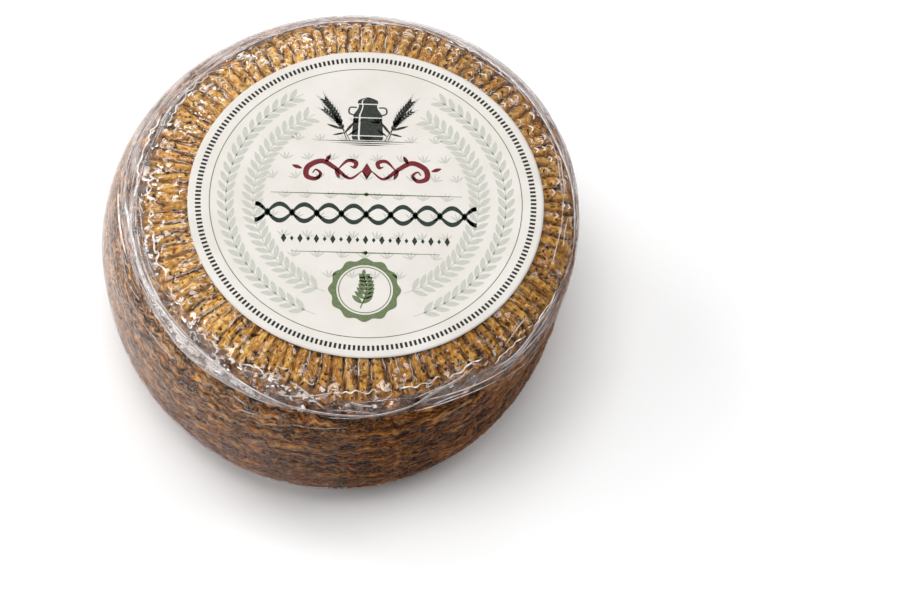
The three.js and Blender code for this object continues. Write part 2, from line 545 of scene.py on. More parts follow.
def curve_through(points, samples):
    """A smooth curve through a few points of any size, as an array of samples."""
    knots = np.array(points, dtype=float)
    padded = np.concatenate([[2 * knots[0] - knots[1]], knots, [2 * knots[-1] - knots[-2]]])
    t = np.linspace(0.0, len(knots) - 1, samples)
    i = np.minimum(t.astype(int), len(knots) - 2)
    u = (t - i)[:, None]
    a, b, c, d = padded[i], padded[i + 1], padded[i + 2], padded[i + 3]
    bend = (2 * a - 5 * b + 4 * c - d) * u ** 2 + (3 * b - a - 3 * c + d) * u ** 3
    return 0.5 * (2 * b + (c - a) * u + bend)


# ---- the label's print

class Print(Strips):
    """Flat shapes of ink on the label. Places are in millimetres from the label's centre."""

    def lay(self, left, right, joined=False):
        """A shape between a left and a right edge with the same number of points."""
        high = LABEL_TOP - PAPER_TOP_GAP + INK_THICKNESS
        low = high - 2.0 * INK_THICKNESS
        cos, sin = math.cos(PRINT_TURN), math.sin(PRINT_TURN)
        edges = []
        for edge, height in ((left, high), (right, high), (right, low), (left, low)):
            x, y = np.asarray(edge, dtype=float).T
            placed_x = LABEL_CENTRE[0] + x * cos - y * sin
            placed_y = LABEL_CENTRE[1] + x * sin + y * cos
            edges.append(points_at(placed_x, placed_y, height))
        self.add(np.stack(edges, axis=1), joined=joined)

    def stroke(self, path, widths):
        """A line of changing width along a path."""
        path = np.asarray(path, dtype=float)
        along = np.gradient(path, axis=0)
        along /= np.maximum(np.linalg.norm(along, axis=1, keepdims=True), 1e-9)
        normal = np.stack([-along[:, 1], along[:, 0]], axis=-1)
        half = np.maximum(np.asarray(widths, dtype=float), 0.04)[:, None] / 2.0
        self.lay(path + normal * half, path - normal * half)

    def leaf(self, x, y, angle, length, width, samples=9):
        """A pointed oval that starts at a place and points along an angle."""
        t = np.linspace(0.0, 1.0, samples)
        run = points_at(x + t * length * math.cos(angle), y + t * length * math.sin(angle))
        self.stroke(run, width * np.sin(math.pi * t) ** 0.8)

    def ring(self, x, y, outer, inner, scallops=0, swing=0.0, samples=96):
        """A ring, with a scalloped outer edge where scallops are given."""
        t = np.arange(samples) / samples * 2.0 * math.pi
        reach = outer * (1.0 + swing * np.cos(scallops * t))
        far = points_at(x + reach * np.cos(t), y + reach * np.sin(t))
        near = points_at(x + inner * np.cos(t), y + inner * np.sin(t))
        self.lay(far, near, joined=True)

    def disc(self, x, y, radius, samples=9):
        t = np.linspace(0.02, math.pi - 0.02, samples)
        height = y + radius * np.cos(t)
        self.lay(points_at(x - radius * np.sin(t), height), points_at(x + radius * np.sin(t), height))

    def lozenge(self, x, y, width, height):
        top, bottom = y + height / 2, y - height / 2
        left = [(x, top), (x - width / 2, y), (x, bottom)]
        self.lay(left, [(x + 0.02, top), (x + width / 2, y), (x + 0.02, bottom)])


DASH_COUNT = 228
DASH_INNER, DASH_OUTER, DASH_WIDTH = 0.926, 0.958, 1.0
CIRCLE_SHARE, CIRCLE_WIDTH = 0.88, 0.35


def print_dashes():
    """The ring of short dashes near the label's edge."""
    ink = Print()
    for i in range(DASH_COUNT):
        angle = 2.0 * math.pi * i / DASH_COUNT
        radii = LABEL_RADIUS * np.array([DASH_INNER, DASH_OUTER])
        ink.stroke(points_at(radii * math.cos(angle), radii * math.sin(angle)), [DASH_WIDTH, DASH_WIDTH])
    return ink


def print_churn(ink, x, y, size):
    """A milk churn, light down its left side, with two rings and two handles."""
    outline = [(0.0, 7.4), (1.6, 7.9), (15.0, 7.2), (18.6, 5.0), (20.6, 4.5), (22.2, 5.2), (23.6, 5.0),
               (24.6, 3.4), (25.6, 0.8)]
    heights, halves = np.array(outline).T
    for low, high in ((0.0, 2.2), (2.8, 13.0), (13.6, 21.2), (21.8, 25.6)):
        level = np.linspace(low, high, 12)
        half = np.interp(level, heights, halves)
        for start, end in ((-1.0, -0.62), (-0.50, 1.0)):
            height = y + size * level
            ink.lay(points_at(x + size * half * start, height), points_at(x + size * half * end, height))
    for side in (-1.0, 1.0):
        handle = [(side * 6.6, 14.6), (side * 9.4, 16.0), (side * 9.0, 19.2), (side * 5.6, 19.4)]
        path = curve_through(handle, 14) * size + np.array([x, y])
        ink.stroke(path, np.full(14, 0.8 * size))


def print_wheat(ink, x, y, size, side):
    """An ear of wheat on a bent stem, with grains in pairs and long beards."""
    stem = curve_through([(0.0, 0.0), (side * 2.6, 8.0), (side * 6.2, 16.0), (side * 11.0, 23.0)], 40)
    stem = stem * size + np.array([x, y])
    ink.stroke(stem, np.full(40, 0.45 * size))
    for i in range(15, 40, 3):
        ahead = math.atan2(*(stem[min(i + 1, 39)] - stem[i - 1])[::-1])
        for turn in (-0.5, 0.5):
            ink.leaf(*stem[i], ahead + turn, 3.4 * size, 1.3 * size)
            ink.leaf(*stem[i], ahead + 0.7 * turn, 7.0 * size, 0.22 * size)
    for i, turn in ((6, 0.9), (10, -0.9)):
        ahead = math.atan2(*(stem[i + 1] - stem[i - 1])[::-1])
        ink.leaf(*stem[i], ahead + turn * side, 9.0 * size, 1.5 * size)


def print_motif():
    """The dark picture at the label's top: a churn on grass between ears of wheat."""
    ink = Print()
    print_churn(ink, 0.0, 28.6, 0.82)
    for side in (-1.0, 1.0):
        print_wheat(ink, side * 8.6, 28.6, 0.80, side)
        print_wheat(ink, side * 7.2, 28.2, 0.62, side * 1.5)
    for reach, y in ((21.0, 28.0), (15.0, 27.0), (8.0, 26.1)):
        x = np.linspace(-reach, reach, 24)
        ink.stroke(points_at(x, y), 0.5 * np.cos(x / reach * math.pi / 2.0))
    return ink


def print_bands():
    """The dark green bands across the label's middle: a braid, and a row of lozenges under it."""
    ink = Print()
    reach, braid_y, swing, loops = 45.0, -7.0, 3.9, 9
    x = np.linspace(-reach, reach, 260)
    for turn in (0.0, math.pi):
        wave = np.sin(x / reach * loops * math.pi / 2.0 + turn)
        ink.stroke(points_at(x, braid_y + swing * wave), 1.0 + 1.1 * np.abs(wave) ** 1.5)
    for i in range(loops):
        ink.lozenge(2.0 * reach / loops * i - 40.0, braid_y, 2.6, 3.8)
    for i in range(21):
        middle = 3.3 * (i - 10)
        ink.lozenge(middle, -19.0, 1.5 if i % 2 else 2.2, 2.4 if i % 2 else 4.2)
    return ink


def print_scrolls():
    """The dark red ornament: mirrored scrolls with leaves about a lozenge."""
    ink = Print()
    middle_y = 13.5
    middle = np.array([0.0, middle_y])
    scroll = curve_through([(2.0, 0.0), (7.0, -3.6), (13.0, 1.2), (18.5, 4.4), (24.0, 1.6), (24.6, -2.8),
                            (21.0, -4.2), (18.8, -1.8), (20.8, 0.2), (22.2, -1.4)], 80)
    hook = curve_through([(12.0, 0.4), (8.0, 4.8), (4.6, 4.2), (5.0, 1.8), (6.8, 2.2)], 40)
    leaves = ((13.0, 1.2, 250.0, 5.4), (17.0, 3.8, 118.0, 4.4), (26.4, 0.6, 20.0, 4.6))
    for side in (-1.0, 1.0):
        mirror = np.array([side, 1.0])
        t = np.linspace(0.0, 1.0, 80)
        ink.stroke(scroll * mirror + middle, 0.5 + 1.9 * np.sin(math.pi * t ** 0.8) ** 1.4)
        t = np.linspace(0.0, 1.0, 40)
        ink.stroke(hook * mirror + middle, 0.4 + 1.5 * np.sin(math.pi * t))
        for x, y, turn, length in leaves:
            angle = math.radians(turn if side > 0 else 180.0 - turn)
            ink.leaf(side * x, middle_y + y, angle, length, 1.7)
    ink.lozenge(0.0, middle_y, 4.4, 8.0)
    return ink


def print_olive():
    """The olive lines: the thin circle, two rules with knots, and the scalloped rosette."""
    ink = Print()
    circle = LABEL_RADIUS * CIRCLE_SHARE
    ink.ring(0.0, 0.0, circle, circle - CIRCLE_WIDTH, samples=180)
    for y, reach, width in ((2.4, 39.0, 0.5), (-25.0, 30.0, 0.35)):
        x = np.linspace(-reach, reach, 40)
        ink.stroke(points_at(x, y), width * (1.1 - np.abs(x / reach)) + 0.15)
        ink.disc(0.0, y, 0.9)
    x, y = 0.0, -42.0
    ink.ring(x, y, 14.0, 11.3, 12, 0.045)
    ink.ring(x, y, 10.6, 10.2)
    stem = curve_through([(-1.6, -8.4), (0.2, -3.0), (0.6, 2.0), (-0.4, 6.4)], 24) + np.array([x, y])
    ink.stroke(stem, np.full(24, 0.5))
    for i in range(3, 22, 3):
        for turn in (-0.85, 0.85):
            ink.leaf(*stem[i], math.pi / 2.0 + turn, 6.0 - 0.14 * i, 2.1)
    ink.leaf(*stem[-1], math.pi / 2.0, 3.0, 1.6)
    return ink


def print_pale():
    """The faint ground of the label: two leafy branches round it and small sprigs between."""
    ink = Print()
    for side in (-1.0, 1.0):
        for radius, lean in ((57.0, 0.55), (46.0, 0.75)):
            turns = np.radians(np.linspace(-70.0, 62.0, 60))
            path = points_at(side * radius * np.cos(turns), radius * np.sin(turns))
            ink.stroke(path, np.full(60, 0.35))
            for i in range(2, 58, 2):
                ahead = math.atan2(*(path[i + 1] - path[i - 1])[::-1])
                for turn in (-lean, lean):
                    ink.leaf(*path[i], ahead + turn, 6.6, 2.2)
    chance = random.Random(11)
    for row in range(11):
        for column in range(9):
            x = -38.0 + 9.4 * column + 4.7 * (row % 2)
            y = -46.0 + 9.2 * row
            if math.hypot(x, y) > 40.0:
                continue
            tilt = math.radians(90.0 + chance.uniform(-25.0, 25.0))
            for turn in (-0.9, -0.3, 0.3, 0.9):
                ink.leaf(x, y, tilt + turn, 3.8, 0.7, 6)
    return ink


def build_label_paper(material):
    """The paper disc: flat where it is printed, with a rim that dips between the ribs."""
    columns = RIB_COUNT * 4
    shares = np.array([0.15, 0.5, 0.8, 0.9, 0.955, 0.97, 0.985, 1.0])
    ring, angle = wheel_grid(shares * LABEL_RADIUS, columns)
    flat = points_at(ring * np.cos(angle), ring * np.sin(angle), 0.0)
    flat[..., :2] += LABEL_CENTRE
    rim = smooth(ring / LABEL_RADIUS, 0.955, 1.0)
    dip = 0.16 * (1.0 + noise(flat, 6.0, 51)) * rim
    top = flat.copy()
    top[..., 2] = LABEL_TOP - PAPER_TOP_GAP - dip
    under = top[::-1].copy()
    under[..., 2] -= PAPER_THICKNESS
    points = np.concatenate([top, under])
    lids = (LABEL_TOP - PAPER_TOP_GAP, LABEL_TOP - PAPER_TOP_GAP - PAPER_THICKNESS)
    return closed_shell("label_paper", points, {}, material, LABEL_CENTRE, lids)


# ---- the film's folds

# A fold's section, from edge to edge over its top and back beneath: across in half widths, rise
# in shares of the fold's lift, and how brightly each point is painted white, a painted highlight
# along the edges. Narrow folds have a plainer one.
FOLD_SECTION = (
    np.array([-1.0, -0.86, -0.68, -0.42, -0.2, 0.08, 0.3, 0.5, 0.72, 0.86, 1.0, 0.6, -0.6]),
    np.array([0.0, 0.7, 0.55, 0.8, 0.65, 1.0, 0.7, 0.85, 0.55, 0.7, 0.0, -0.3, -0.3]),
    np.array([0.9, 1.0, 0.1, 0.35, 0.0, 0.4, 0.05, 0.3, 0.15, 1.0, 0.8, 0.0, 0.0]),
)
FINE_SECTION = (
    np.array([-1.0, -0.6, 0.0, 0.55, 1.0, 0.5, -0.5]),
    np.array([0.0, 0.75, 1.0, 0.75, 0.0, -0.3, -0.3]),
    np.array([0.9, 0.6, 0.3, 0.6, 0.9, 0.0, 0.0]),
)
FINE_WIDTH = 0.72


class Folds(Strips):
    """Folds and creases of the film. A route is a row of (degrees round the wheel, millimetres
    along the skin, width in millimetres)."""

    def lay(self, route, lift, edge_mark, middle_mark, samples=None):
        turn = math.radians(abs(route[-1][0] - route[0][0])) * WHEEL_RADIUS
        count = samples or max(8, int(turn + abs(route[-1][1] - route[0][1])))
        angle, distance, width = curve_through(route, count).T
        angle = np.radians(angle)
        along = np.gradient(points_at(angle * WHEEL_RADIUS, distance), axis=0)
        along /= np.linalg.norm(along, axis=1, keepdims=True)
        run = np.linspace(0, 1, count)
        taper = np.minimum(1.0, 6.0 * np.minimum(run, run[::-1]) + 0.15)
        across, rise, mark = FINE_SECTION if width.max() < FINE_WIDTH else FOLD_SECTION
        offset = across[None, :] * (width * taper)[:, None] / 2.0
        step_angle = angle[:, None] - along[:, 1:2] * offset / WHEEL_RADIUS
        step_distance = distance[:, None] + along[:, 0:1] * offset
        belly = smooth(step_distance, BELLY_START, BELLY_FULL)
        depth = 0.12 + 0.26 * belly - lift * rise[None, :] * taper[:, None] * (1.0 - 0.9 * belly)
        sections = skin_point(step_distance, step_angle, depth)
        marks = (middle_mark + (edge_mark - middle_mark) * mark)[None, :] * np.sqrt(taper)[:, None]
        self.add(sections, marks)


# The gathered edge of the film
FOLD_UPPER_LINE = (
    (160, 27.4, 0.6), (172, 28.6, 0.9), (184, 31.8, 1.2), (197, 32.4, 1.4), (206, 32.8, 2.2),
    (213, 31.6, 1.8), (225, 31.4, 1.0), (239, 32.4, 1.0), (250, 34.4, 0.8),
)
FOLD_SECOND_LINE = ((183, 29.0, 0.5), (198, 30.4, 0.6), (207, 30.9, 0.8), (214, 31.2, 0.4))
FOLD_RIBBON = (
    (205, 33.4, 1.0), (211, 33.6, 3.0), (221, 34.2, 5.4), (231, 34.2, 5.6), (239, 34.4, 4.4),
    (248, 34.9, 3.0), (256, 35.0, 1.6),
)
FOLD_FRONT_LINE = (
    (248, 34.6, 0.8), (256, 34.6, 0.9), (266, 35.0, 0.7), (274, 35.4, 0.7), (283, 34.0, 0.7),
    (288, 31.8, 0.9), (292, 31.0, 0.9), (297.5, 30.2, 0.9), (302, 29.0, 0.5),
)
FOLD_RIGHT_LINE = (
    (337, 37.8, 0.5), (326, 36.0, 0.9), (321, 36.2, 1.0), (315.5, 37.4, 1.5), (310.5, 37.0, 1.1),
    (305, 34.6, 0.6),
)
# Creases that cross it or run beside it
FOLD_CROSSINGS = (
    ((251.5, 24.8, 0.5), (256.5, 27.6, 0.6), (262.5, 33.4, 0.7)),
    ((250.0, 31.6, 0.5), (256.2, 29.6, 0.5), (264.5, 25.6, 0.6)),
    ((268.0, 29.6, 0.7), (270.6, 30.8, 0.9), (273.8, 31.6, 0.5)),
    ((283.0, 36.5, 0.5), (296.0, 38.5, 0.5), (309.0, 44.0, 0.4)),
    ((319.0, 37.8, 0.5), (315.0, 38.8, 0.9), (311.5, 38.8, 0.9), (307.0, 37.0, 0.6)),
    ((336.0, 53.0, 0.4), (328.0, 45.6, 0.6), (321.0, 41.2, 0.6), (311.0, 39.8, 0.5)),
    ((336.0, 68.0, 0.3), (328.5, 62.4, 0.4), (320.8, 57.2, 0.5), (313.8, 49.2, 0.5), (304.0, 43.0, 0.4)),
    ((286.0, 33.0, 0.6), (298.0, 36.2, 0.5), (312.0, 41.0, 0.4)),
)
# The gathered edge on the right and the back
FOLD_BACK_LINES = (
    ((-16, 38.0, 0.6), (-5, 35.4, 0.8), (6, 33.2, 0.8), (16, 30.4, 0.9), (29, 29.4, 1.1),
     (38, 29.8, 1.0), (50, 29.6, 1.3), (62, 31.4, 1.1), (72, 31.8, 0.6)),
    ((64, 30.4, 0.5), (80, 29.0, 0.8), (98, 29.6, 0.7), (118, 28.4, 0.9), (136, 28.0, 1.0),
     (150, 28.2, 1.0), (162, 27.0, 0.6)),
    ((20, 36.0, 0.6), (44, 35.0, 1.2), (70, 36.6, 1.6), (96, 35.4, 1.2), (120, 36.2, 0.6)),
)
# The sleeve's two bright lines
FOLD_SLEEVE_LINES = (
    ((172, 40.4, 0.5), (177, 38.8, 0.8), (182, 38.0, 1.0), (189, 37.2, 0.7), (195, 36.8, 0.4)),
    ((177, 35.0, 0.6), (182.5, 33.2, 1.1), (187, 32.4, 1.2), (193, 32.0, 0.8), (198, 32.6, 1.0),
     (206, 33.6, 1.2)),
)
# Wiggly lines of glints where the film drops off the ribs: from and to in degrees, distance
# along the skin, swing to either side and width
CRUMPLE_LINES = (
    (150, 180, 30.0, 0.9, 0.55),
    (168, 190, 23.6, 1.2, 0.55),
    (188, 207, 24.2, 1.2, 0.60),
    (206, 217, 25.6, 0.8, 0.50),
    (222, 232, 26.4, 0.8, 0.40),
    (238, 251, 25.6, 0.9, 0.45),
    (262, 276, 25.4, 1.0, 0.45),
    (280, 292, 26.6, 0.8, 0.50),
    (293, 305, 28.0, 0.8, 0.50),
    (306, 318, 33.0, 0.9, 0.45),
    (320, 334, 35.0, 0.7, 0.40),
    (130, 156, 26.0, 1.0, 0.45),
    (34, 62, 29.0, 0.7, 0.50),
    (70, 96, 29.4, 0.6, 0.40),
)
CRUMPLE_STEP = 1.1
STREAK_COUNT = 210
GROOVE_LINE_SHARE = 0.7
CHEVRON_SHARE = 0.55
HOOP_COUNT = 54

# A kind of fold: its lift over the skin, and how brightly its edges and its middle are painted white,
# the edges a painted highlight
RIBBON = (0.9, 0.8, 0.14)
LINE = (0.6, 0.8, 0.3)
CREASE = (0.45, 0.75, 0.5)
BRIGHT_LINE = (0.5, 1.0, 0.9)
GLINT = (0.3, 1.0, 0.9)
CHEVRON = (0.12, 0.9, 0.8)
HOOP = (0.15, 0.9, 0.8)
STREAK_LIFT = 0.3
GROOVE_LINE_LIFT = 0.1


def lay_crumples(folds, chance):
    """The wiggly lines of glints."""
    for start, end, distance, swing, width in CRUMPLE_LINES:
        knots = int((end - start) / CRUMPLE_STEP)
        route = []
        for i in range(knots + 1):
            place = start + (end - start) * i / knots
            wobble = chance.uniform(-swing, swing)
            route.append((place, distance + wobble, width * chance.uniform(0.4, 1.5)))
        folds.lay(route, *GLINT, samples=5 * knots)


def lay_streaks(folds, chance):
    """Short streaks beside the gathered edge, three in four of them off the front."""
    for i in range(STREAK_COUNT):
        start = chance.uniform(-15.0, 205.0) if i % 4 else chance.uniform(0.0, 360.0)
        reach = chance.uniform(4.0, 15.0)
        distance = 27.0 + 26.0 * chance.random() ** 1.3
        drift = chance.uniform(-2.6, 2.6)
        width = chance.uniform(0.25, 0.6)
        middle = (start + reach / 2.0, distance + 0.4 * drift + chance.uniform(-0.8, 0.8), width)
        strength = chance.uniform(0.25, 0.75)
        route = ((start, distance, width), middle, (start + reach, distance + drift, width))
        folds.lay(route, STREAK_LIFT, strength, strength)


def lay_groove_lines(folds, chance):
    """Thin lights along most of the grooves between the ribs."""
    for rib in range(RIB_COUNT):
        if chance.random() > GROOVE_LINE_SHARE:
            continue
        groove = 360.0 * rib / RIB_COUNT
        start = chance.uniform(8.0, 14.0)
        reach = chance.uniform(5.0, 12.0)
        route = []
        for i in range(7):
            wobble = chance.uniform(-0.35, 0.35)
            route.append((groove + wobble, start + reach * i / 6.0, chance.uniform(0.22, 0.45)))
        strength = chance.uniform(0.35, 0.9)
        folds.lay(route, GROOVE_LINE_LIFT, strength, strength, 20)


def lay_chevrons(folds, chance):
    """Small arches of light on the outer beads of the ribs at the back."""
    for rib in range(RIB_COUNT):
        crest = 360.0 * (rib + 0.5) / RIB_COUNT
        top = float(edge_value(math.radians(crest), RIBS_END))
        share = CHEVRON_SHARE * float(back_share(math.radians(crest)))
        for row in range(3):
            if chance.random() > share:
                continue
            tip = top - 1.6 - BEAD_PITCH * row + chance.uniform(-0.4, 0.4)
            spread = chance.uniform(0.8, 1.4)
            width = chance.uniform(0.3, 0.6)
            left = (crest - spread, tip - 1.5, width)
            right = (crest + spread, tip - 1.5, width)
            folds.lay((left, (crest, tip, 1.3 * width), right), *CHEVRON, samples=12)


def lay_hoops(folds, chance):
    """Small loops of light round the ends of the ribs, most of them where the film is crumpled."""
    for i in range(HOOP_COUNT):
        middle = chance.gauss(math.degrees(CRUMPLED_ANGLE), 45.0)
        foot = float(edge_value(math.radians(middle), RIBS_END)) + chance.uniform(-5.0, 0.5)
        reach = chance.uniform(0.5, 1.6)
        lean = chance.uniform(-0.6, 0.6)
        rise = chance.uniform(0.4, 1.8)
        width = chance.uniform(0.2, 0.45)
        route = ((middle - reach, foot - rise, width), (middle - 0.7 * reach + lean, foot, width),
                 (middle + 0.5 * reach + lean, foot + 0.3, 1.4 * width),
                 (middle + reach, foot - rise, width))
        folds.lay(route, *HOOP, samples=16)


def build_folds(material):
    """The film's gathered edge round the crown, its creases and the small lights beside it."""
    folds = Folds()
    folds.lay(FOLD_RIBBON, *RIBBON)
    for line in (FOLD_UPPER_LINE, FOLD_FRONT_LINE, FOLD_RIGHT_LINE, *FOLD_BACK_LINES):
        folds.lay(line, *LINE)
    for line in (FOLD_SECOND_LINE, *FOLD_CROSSINGS):
        folds.lay(line, *CREASE)
    for line in FOLD_SLEEVE_LINES:
        folds.lay(line, *BRIGHT_LINE)
    chance = random.Random(29)
    for lay_kind in (lay_crumples, lay_streaks, lay_groove_lines, lay_chevrons, lay_hoops):
        lay_kind(folds, chance)
    return folds.build("film_folds", material, True)


# ---- materials

NEAR_WHITE = (0.98, 0.98, 0.98, 1.0)


def colour(red, green, blue):
    """A colour as seen on a screen, 0 to 255, as linear light with full alpha."""
    channels = []
    for value in (red, green, blue):
        share = value / 255.0
        channels.append(share / 12.92 if share <= 0.04045 else ((share + 0.055) / 1.055) ** 2.4)
    return (*channels, 1.0)


class Nodes:
    """A material's node tree. A value for a node is a number, a colour, a vector or another
    node's output."""

    def __init__(self, name):
        self.material = bpy.data.materials.new(name)
        self.material.use_nodes = True
        self.tree = self.material.node_tree
        self.tree.nodes.clear()

    def add(self, kind, inputs, **settings):
        """The outputs of a new node, with its settings set and its inputs set or linked."""
        node = self.tree.nodes.new("ShaderNode" + kind)
        for name, value in settings.items():
            setattr(node, name, value)
        for key, value in inputs.items():
            if isinstance(value, bpy.types.NodeSocket):
                self.tree.links.new(value, node.inputs[key])
            else:
                node.inputs[key].default_value = value
        return node.outputs

    def finish(self, shader):
        """The material, with a shader linked to its surface."""
        self.add("OutputMaterial", {"Surface": shader})
        return self.material

    def attribute(self, name, output="Fac"):
        return self.add("Attribute", {}, attribute_name=name)[output]

    def math(self, operation, *values, clamp=False):
        return self.add("Math", dict(enumerate(values)), operation=operation, use_clamp=clamp)["Value"]

    def vector(self, operation, *values):
        return self.add("VectorMath", dict(enumerate(values)), operation=operation)["Vector"]

    def times(self, value, factor, clamp=False):
        return self.math("MULTIPLY", value, factor, clamp=clamp)

    def times_plus(self, value, factor, rest, clamp=False):
        return self.math("MULTIPLY_ADD", value, factor, rest, clamp=clamp)

    def span(self, value, low, high, at_low=0.0, at_high=1.0):
        """A value mapped from one range to another and held at the ends."""
        inputs = {"Value": value, "From Min": low, "From Max": high, "To Min": at_low, "To Max": at_high}
        return self.add("MapRange", inputs)["Result"]

    def texture(self, kind, size_mm, **inputs):
        """A texture with lumps of about the given size. Unless it is given a place, it lies over
        the object's own coordinates."""
        if "Vector" not in inputs:
            inputs["Vector"] = self.add("TexCoord", {})["Object"]
        return self.add(kind, {"Scale": 1.0 / (size_mm * MM), **inputs})

    def noise(self, size_mm, detail=3.0, roughness=0.55):
        return self.texture("TexNoise", size_mm, Detail=detail, Roughness=roughness)["Fac"]

    def strands(self, round_mm, along_mm, laid_flat="unrolled"):
        """Noise drawn out round the wheel or along the skin, near 0.5 on thin meandering lines."""
        scale = (1.0 / round_mm, 1.0 / round_mm, 1.0 / along_mm)
        place = self.vector("MULTIPLY", self.attribute(laid_flat, "Vector"), scale)
        return self.add("TexNoise", {"Scale": 1.0, "Detail": 2.0, "Vector": place})["Fac"]

    def lines(self, value, half_width, strength):
        """Strength where a value lies near 0.5, and 0 from half a line's width away."""
        away = self.math("ABSOLUTE", self.math("SUBTRACT", value, 0.5))
        return self.span(away, half_width, 0.25 * half_width, 0.0, strength)

    def ramp(self, value, *stops):
        """A colour ramp from stops of (place, red, green, blue)."""
        node = self.tree.nodes.new("ShaderNodeValToRGB")
        elements = node.color_ramp.elements
        while len(elements) < len(stops):
            elements.new(0.5)
        for element, (place, *shade) in zip(elements, stops):
            element.position = place
            element.color = colour(*shade)
        self.tree.links.new(value, node.inputs["Fac"])
        return node.outputs["Color"]

    def mix(self, factor, first, second, blend="MIX"):
        inputs = {"Factor": factor, 6: first, 7: second}
        return self.add("Mix", inputs, data_type="RGBA", blend_type=blend)[2]

    def shaded(self, shade, share, value, *stops):
        """A colour multiplied, by a share, with a ramp over a value."""
        return self.mix(share, shade, self.ramp(value, *stops), "MULTIPLY")

    def shader(self, kind, **inputs):
        return self.add("Bsdf" + kind, inputs)["BSDF"]

    def layered(self, factor, first, second):
        """Two shaders mixed."""
        return self.add("MixShader", {"Fac": factor, 1: first, 2: second})["Shader"]

    def bump(self, height, strength, distance_mm):
        inputs = {"Strength": strength, "Distance": distance_mm * MM, "Height": height}
        return self.add("Bump", inputs)["Normal"]

    def specks(self, spacing_mm, reach):
        """Small ragged dots, one in about every third cell of the given size."""
        cells = self.texture("TexVoronoi", spacing_mm)
        chosen = self.math("GREATER_THAN", cells["Color"], 0.62)
        ragged = self.times_plus(self.noise(0.7, 1.0), 0.5, cells["Distance"])
        near = self.span(ragged, 0.25 + reach, 0.25 + 0.6 * reach)
        return self.times(near, chosen)

    def facet_normal(self, size_mm, tilt):
        """The surface's normal tilted one way or another in each facet of crumpled film."""
        warp = self.texture("TexNoise", 1.2 * size_mm)["Color"]
        place = self.add("TexCoord", {})["Object"]
        moved = self.vector("MULTIPLY_ADD", warp, (1.6 * size_mm * MM,) * 3, place)
        cells = self.texture("TexVoronoi", size_mm, Vector=moved)["Color"]
        centred = self.vector("SUBTRACT", cells, (0.5, 0.5, 0.5))
        normal = self.add("NewGeometry", {})["Normal"]
        return self.vector("NORMALIZE", self.vector("MULTIPLY_ADD", centred, (tilt,) * 3, normal))

    def surface(self, shade, roughness, specular, **inputs):
        """A principled shader."""
        inputs.update({"Base Color": shade, "Roughness": roughness, "Specular IOR Level": specular})
        return self.shader("Principled", **inputs)


def crown_colour(nodes, relief, straw):
    """Gold ribs and brown grooves, the brown partly painted shade, with cream fibres, hairs, dark splits
    and painted light from the left.
    """
    # Dark brown where the relief is low: partly the rind's own colour, partly painted shade in the
    # grooves
    crown = nodes.ramp(relief, (0.05, 84, 54, 20), (0.32, 156, 110, 38), (0.66, 214, 164, 68),
                       (0.95, 244, 210, 136))
    crown = nodes.shaded(crown, 0.8, nodes.noise(4.0, 5.0, 0.65), (0.30, 188, 160, 134),
                         (0.44, 240, 214, 172), (0.58, 255, 240, 200), (0.72, 255, 255, 255))
    crown = nodes.shaded(crown, 0.5, nodes.noise(6.5), (0.50, 255, 255, 255), (0.70, 255, 226, 170))
    crown = nodes.shaded(crown, 0.8, nodes.noise(1.5, 2.0), (0.34, 150, 116, 82), (0.48, 255, 255, 255))
    crown = nodes.mix(nodes.span(straw, 0.62, 0.80, 0.0, 0.6), crown, colour(230, 194, 130))
    hairs = nodes.lines(nodes.strands(0.9, 5.0), 0.035, 0.6)
    crown = nodes.mix(hairs, crown, colour(240, 212, 160))
    splits = nodes.lines(nodes.strands(1.3, 6.5), 0.03, 0.7)
    crown = nodes.mix(splits, crown, colour(98, 62, 26))
    # Painted light: the crown is painted paler towards the left and darker towards the right
    return nodes.shaded(crown, 1.0, nodes.attribute("tone"), (0.0, 206, 192, 164), (0.3, 208, 194, 166),
                        (0.5, 222, 210, 190), (0.75, 255, 252, 244), (1.0, 253, 248, 238))


def side_colour(nodes, relief, straw):
    """Brown strands in patches, with painted highlights on crests and thin lines, and painted shade in
    the gaps, low down and away from the left.
    """
    # Dark gaps and pale crests: partly the strands' own colour, partly painted shade and painted
    # highlights
    side = nodes.ramp(relief, (0.16, 56, 31, 8), (0.44, 146, 102, 46), (0.64, 206, 160, 92),
                      (0.80, 255, 230, 192))
    side = nodes.shaded(side, 0.9, straw, (0.30, 190, 174, 162), (0.50, 240, 224, 204),
                        (0.68, 252, 218, 134))
    side = nodes.shaded(side, 0.8, nodes.noise(9.0, 4.0), (0.35, 196, 180, 166), (0.65, 255, 244, 222))
    # Painted shade: the side is painted darker towards the base
    side = nodes.shaded(side, 1.0, nodes.attribute("low"), (0.0, 255, 255, 255), (1.0, 204, 176, 128))
    # Painted light and shade: the side is painted paler towards the left and darker away from it
    tone = nodes.ramp(nodes.attribute("tone"), (0.34, 206, 180, 142), (0.62, 234, 222, 206),
                      (0.88, 255, 255, 255))
    side = nodes.mix(1.0, side, tone, "MULTIPLY")
    # Thin pale lines along the strands: painted highlights, standing in for glints of the clinging film
    painted_glint_lines = nodes.lines(nodes.strands(4.0, 0.9), 0.024, 0.55)
    side = nodes.mix(painted_glint_lines, side, nodes.mix(1.0, colour(232, 204, 170), tone, "MULTIPLY"))
    cracks = nodes.lines(nodes.strands(4.8, 1.2), 0.02, 0.7)
    return nodes.mix(cracks, side, colour(58, 38, 22))


